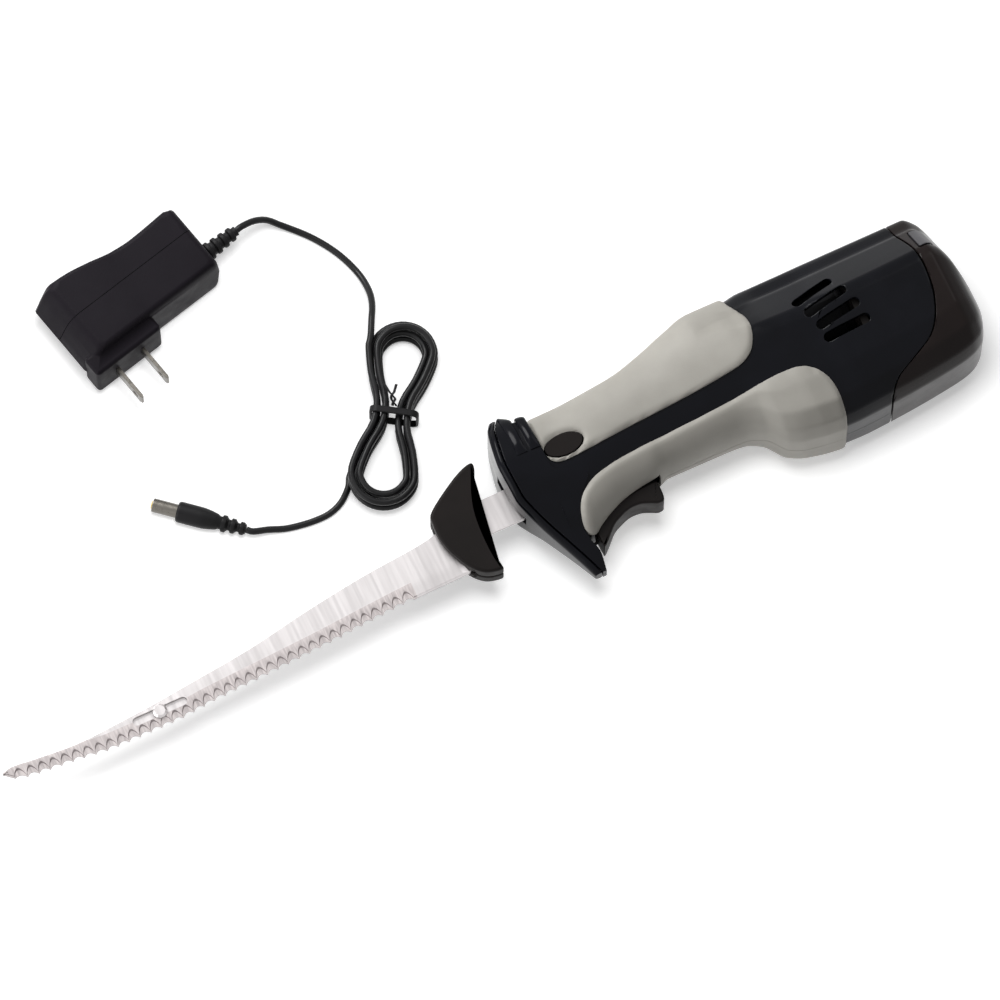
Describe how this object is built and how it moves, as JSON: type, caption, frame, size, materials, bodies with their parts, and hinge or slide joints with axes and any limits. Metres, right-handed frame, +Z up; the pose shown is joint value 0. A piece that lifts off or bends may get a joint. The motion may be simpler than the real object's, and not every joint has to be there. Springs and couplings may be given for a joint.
{
  "type": "electric fillet knife",
  "caption": "Cordless electric fillet knife with twin reciprocating blades, finger guards, trigger and slide-off battery, and its plug-in charger.",
  "frame": {"origin": "On the flat right side that the knife lies on, level with the blades, 150 mm behind the nose", "axes": "+X from the blades to the battery, +Y from the belly to the spine, +Z up from the surface it lies on, towards its left side"},
  "size_m": [0.423, 0.2094, 0.052],
  "materials": {
    "body_gloss": "glossy black moulded plastic",
    "battery_gloss": "glossy brown-black moulded plastic",
    "matte_black": "fine matte black plastic",
    "grip_rubber": "soft warm grey over-moulded grip",
    "blade_steel": "bright satin steel",
    "plain_steel": "plain machined steel",
    "bushing_brass": "sintered bronze and brass",
    "gear_nylon": "natural nylon",
    "cell_sleeve": "cell can in a blue shrink sleeve",
    "board": "circuit board with a wound coil",
    "cord_rubber": "smooth black cord",
    "charger_black": "fine textured black plastic",
    "prong_nickel": "nickel plated brass"
  },
  "bodies": {
    "housing": {"housing_left": "body_gloss", "housing_right": "body_gloss", "nose_plate": "body_gloss", "top_grip_left": "grip_rubber", "top_grip_right": "grip_rubber", "belly_grip_left": "grip_rubber", "belly_grip_right": "grip_rubber", "trigger_pin": "plain_steel", "trigger_switch": "matte_black", "trigger_spring": "plain_steel", "button_spring_left": "plain_steel", "button_spring_right": "plain_steel", "blade_guide": "gear_nylon", "crank_bearing_left": "bushing_brass", "crank_bearing_right": "bushing_brass", "worm_bearing": "bushing_brass", "motor_can": "plain_steel", "motor_cap": "matte_black", "contact_plate": "matte_black", "housing_screw_1": "plain_steel", "housing_screw_2": "plain_steel", "housing_screw_3": "plain_steel", "housing_screw_4": "plain_steel", "charger_case_front": "charger_black", "charger_case_back": "charger_black", "charger_board": "board", "prong_1": "prong_nickel", "prong_2": "prong_nickel", "strain_relief": "cord_rubber", "cord_lead": "cord_rubber", "cord_hank": "cord_rubber", "cord_tail": "cord_rubber", "hank_tie": "cord_rubber", "plug_body": "cord_rubber", "plug_barrel": "prong_nickel", "plug_insulator": "gear_nylon"},
    "crank": {"drive_gear": "gear_nylon", "crank_left": "plain_steel", "crank_right": "plain_steel"},
    "rotor": {"motor_shaft": "plain_steel", "worm": "bushing_brass"},
    "left_rod": {"drive_rod_left": "plain_steel"},
    "right_rod": {"drive_rod_right": "plain_steel"},
    "left_blade": {"blade_left": "blade_steel", "guard_left": "matte_black"},
    "right_blade": {"blade_right": "blade_steel", "guard_right": "matte_black", "blade_rivet": "blade_steel"},
    "trigger": {"trigger": "matte_black"},
    "left_button": {"release_button_left": "matte_black"},
    "right_button": {"release_button_right": "matte_black"},
    "battery": {"battery_case": "battery_gloss", "battery_holder": "matte_black", "battery_cell_1": "cell_sleeve", "battery_cell_2": "cell_sleeve", "battery_cell_3": "cell_sleeve", "battery_cell_4": "cell_sleeve", "charge_jack": "matte_black"},
    "left_latch": {"battery_latch_left": "battery_gloss"},
    "right_latch": {"battery_latch_right": "battery_gloss"}
  },
  "joints": [
    {"name": "crank_turn", "type": "hinge", "parent": "housing", "child": "crank", "pos_m": [-0.092, 0.002, 0.026], "axis": [0, 0, 1], "range_deg": [-60, 60]},
    {"name": "motor_turn", "type": "hinge", "parent": "housing", "child": "rotor", "pos_m": [-0.092, 0.017, 0.026], "axis": [1, 0, 0], "range_deg": [-1320, 1320]},
    {"name": "left_rod_slide", "type": "slide", "parent": "housing", "child": "left_rod", "axis": [1, 0, 0], "range_m": [-0.0045, 0.0045]},
    {"name": "right_rod_slide", "type": "slide", "parent": "housing", "child": "right_rod", "axis": [1, 0, 0], "range_m": [-0.0045, 0.0045]},
    {"name": "left_blade_out", "type": "slide", "parent": "left_rod", "child": "left_blade", "axis": [-1, 0, 0], "range_m": [0, 0.05]},
    {"name": "right_blade_out", "type": "slide", "parent": "right_rod", "child": "right_blade", "axis": [-1, 0, 0], "range_m": [0, 0.05]},
    {"name": "trigger_pull", "type": "hinge", "parent": "housing", "child": "trigger", "pos_m": [-0.1215, -0.0188, 0.026], "axis": [0, 0, 1], "range_deg": [0, 6], "stiffness_Nm_per_rad": 0.3, "springref_deg": -8.59, "deforming": ["trigger_spring"]},
    {"name": "left_button_press", "type": "slide", "parent": "housing", "child": "left_button", "axis": [0, 0, -1], "range_m": [0, 0.002], "stiffness_N_per_m": 1500, "springref_m": -0.001, "deforming": ["button_spring_left"]},
    {"name": "right_button_press", "type": "slide", "parent": "housing", "child": "right_button", "axis": [0, 0, 1], "range_m": [0, 0.002], "stiffness_N_per_m": 1500, "springref_m": -0.001, "deforming": ["button_spring_right"]},
    {"name": "battery_off", "type": "slide", "parent": "housing", "child": "battery", "axis": [1, 0, 0], "range_m": [0, 0.05]},
    {"name": "left_latch_press", "type": "slide", "parent": "battery", "child": "left_latch", "axis": [0, 0, -1], "range_m": [0, 0.0015], "stiffness_N_per_m": 1500, "springref_m": -0.001},
    {"name": "right_latch_press", "type": "slide", "parent": "battery", "child": "right_latch", "axis": [0, 0, 1], "range_m": [0, 0.0015], "stiffness_N_per_m": 1500, "springref_m": -0.001}
  ],
  "couplings": [
    {"joint": "motor_turn", "follows": "crank_turn", "ratio": -22},
    {"joint": "left_rod_slide", "follows": "crank_turn", "m_per_rad": -0.004295},
    {"joint": "right_rod_slide", "follows": "crank_turn", "m_per_rad": 0.004295},
    {"joint": "right_blade_out", "follows": "left_blade_out", "ratio": 1}
  ]
}
